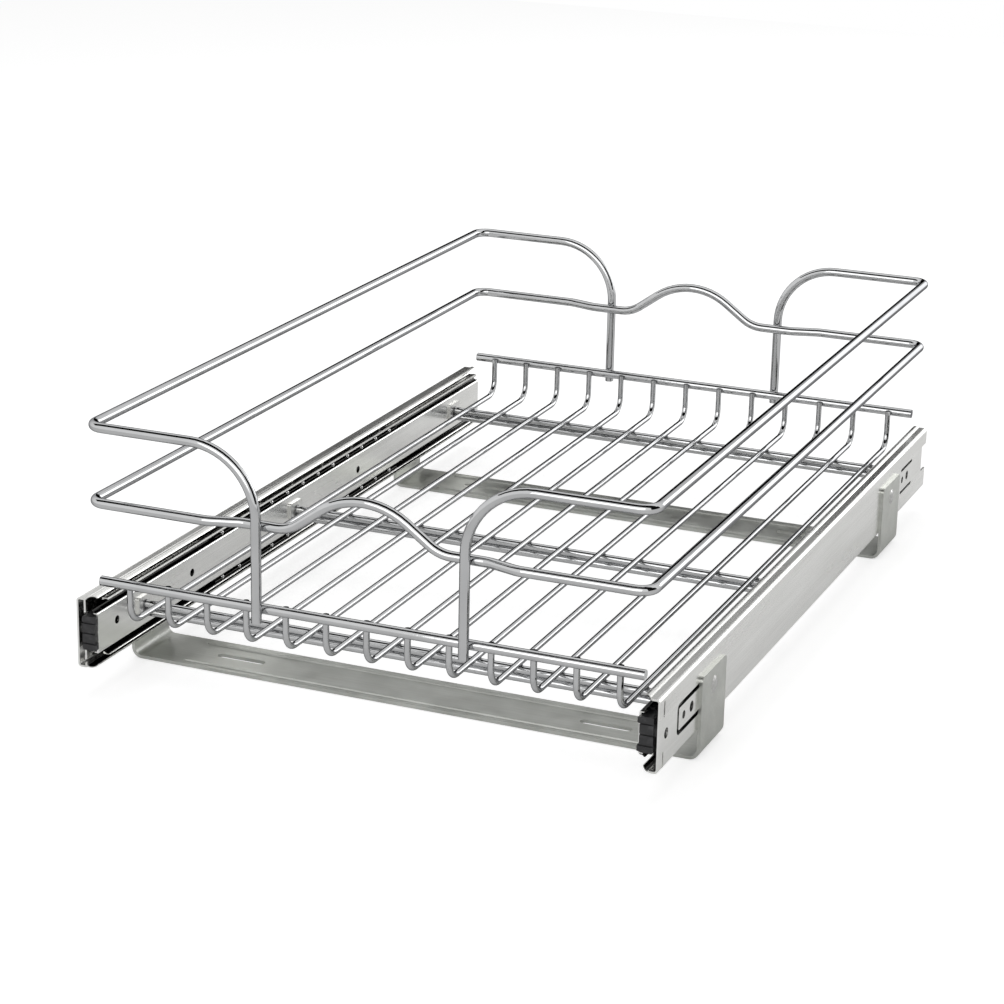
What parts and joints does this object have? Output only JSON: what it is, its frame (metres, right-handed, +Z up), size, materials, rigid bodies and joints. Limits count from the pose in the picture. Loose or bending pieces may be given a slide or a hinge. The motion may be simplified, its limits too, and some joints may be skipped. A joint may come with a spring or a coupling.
{
  "type": "pull out cabinet basket",
  "caption": "Wire basket that pulls out of a kitchen base cabinet on ball-bearing slides, carried by floor-mounted cross bars.",
  "frame": {"origin": "on the cabinet floor, below the middle of the closed basket", "axes": "+X to the right as seen from the front, +Y to the back of the cabinet, +Z up"},
  "size_m": [0.3678, 0.568, 0.1681],
  "materials": {
    "chromed_wire": "polished chrome plating",
    "slide_steel": "bright zinc plating",
    "bar_steel": "satin galvanised",
    "rivets": "bright zinc plating",
    "retainers": "plain pressed steel",
    "balls": "polished steel",
    "bumpers": "moulded black"
  },
  "bodies": {
    "cabinet_frame": {"left_outer_member": "slide_steel", "right_outer_member": "slide_steel", "front_cross_bar": "bar_steel", "rear_cross_bar": "bar_steel", "left_cross_bar_rivets": "rivets", "right_cross_bar_rivets": "rivets"},
    "basket": {"floor_wire_01": "chromed_wire", "floor_wire_02": "chromed_wire", "floor_wire_03": "chromed_wire", "floor_wire_04": "chromed_wire", "floor_wire_05": "chromed_wire", "floor_wire_06": "chromed_wire", "floor_wire_07": "chromed_wire", "floor_wire_08": "chromed_wire", "floor_wire_09": "chromed_wire", "floor_wire_10": "chromed_wire", "floor_wire_11": "chromed_wire", "floor_wire_12": "chromed_wire", "floor_wire_13": "chromed_wire", "front_rim": "chromed_wire", "rear_rim": "chromed_wire", "front_upper_support": "chromed_wire", "front_lower_support": "chromed_wire", "middle_upper_support": "chromed_wire", "middle_lower_support": "chromed_wire", "rear_upper_support": "chromed_wire", "rear_lower_support": "chromed_wire", "left_top_rail": "chromed_wire", "right_top_rail": "chromed_wire", "middle_ring": "chromed_wire", "left_drawer_member": "slide_steel", "right_drawer_member": "slide_steel", "left_front_bracket": "slide_steel", "left_middle_bracket": "slide_steel", "left_rear_bracket": "slide_steel", "right_front_bracket": "slide_steel", "right_middle_bracket": "slide_steel", "right_rear_bracket": "slide_steel", "left_bumper": "bumpers", "right_bumper": "bumpers"},
    "left_intermediate": {"left_intermediate_member": "slide_steel"},
    "left_outer_cage": {"left_outer_ball_retainer": "retainers", "left_outer_balls": "balls"},
    "left_inner_cage": {"left_inner_ball_retainer": "retainers", "left_inner_balls": "balls"},
    "right_intermediate": {"right_intermediate_member": "slide_steel"},
    "right_outer_cage": {"right_outer_ball_retainer": "retainers", "right_outer_balls": "balls"},
    "right_inner_cage": {"right_inner_ball_retainer": "retainers", "right_inner_balls": "balls"}
  },
  "joints": [
    {"name": "basket_slide", "type": "slide", "parent": "cabinet_frame", "child": "basket", "axis": [0, -1, 0], "range_m": [0, 0.55]},
    {"name": "left_intermediate_slide", "type": "slide", "parent": "cabinet_frame", "child": "left_intermediate", "axis": [0, -1, 0], "range_m": [0, 0.275]},
    {"name": "left_outer_cage_slide", "type": "slide", "parent": "cabinet_frame", "child": "left_outer_cage", "axis": [0, -1, 0], "range_m": [0, 0.1375]},
    {"name": "left_inner_cage_slide", "type": "slide", "parent": "cabinet_frame", "child": "left_inner_cage", "axis": [0, -1, 0], "range_m": [0, 0.4125]},
    {"name": "right_intermediate_slide", "type": "slide", "parent": "cabinet_frame", "child": "right_intermediate", "axis": [0, -1, 0], "range_m": [0, 0.275]},
    {"name": "right_outer_cage_slide", "type": "slide", "parent": "cabinet_frame", "child": "right_outer_cage", "axis": [0, -1, 0], "range_m": [0, 0.1375]},
    {"name": "right_inner_cage_slide", "type": "slide", "parent": "cabinet_frame", "child": "right_inner_cage", "axis": [0, -1, 0], "range_m": [0, 0.4125]}
  ],
  "couplings": [
    {"joint": "left_intermediate_slide", "follows": "basket_slide", "ratio": 0.5},
    {"joint": "left_outer_cage_slide", "follows": "basket_slide", "ratio": 0.25},
    {"joint": "left_inner_cage_slide", "follows": "basket_slide", "ratio": 0.75},
    {"joint": "right_intermediate_slide", "follows": "basket_slide", "ratio": 0.5},
    {"joint": "right_outer_cage_slide", "follows": "basket_slide", "ratio": 0.25},
    {"joint": "right_inner_cage_slide", "follows": "basket_slide", "ratio": 0.75}
  ]
}
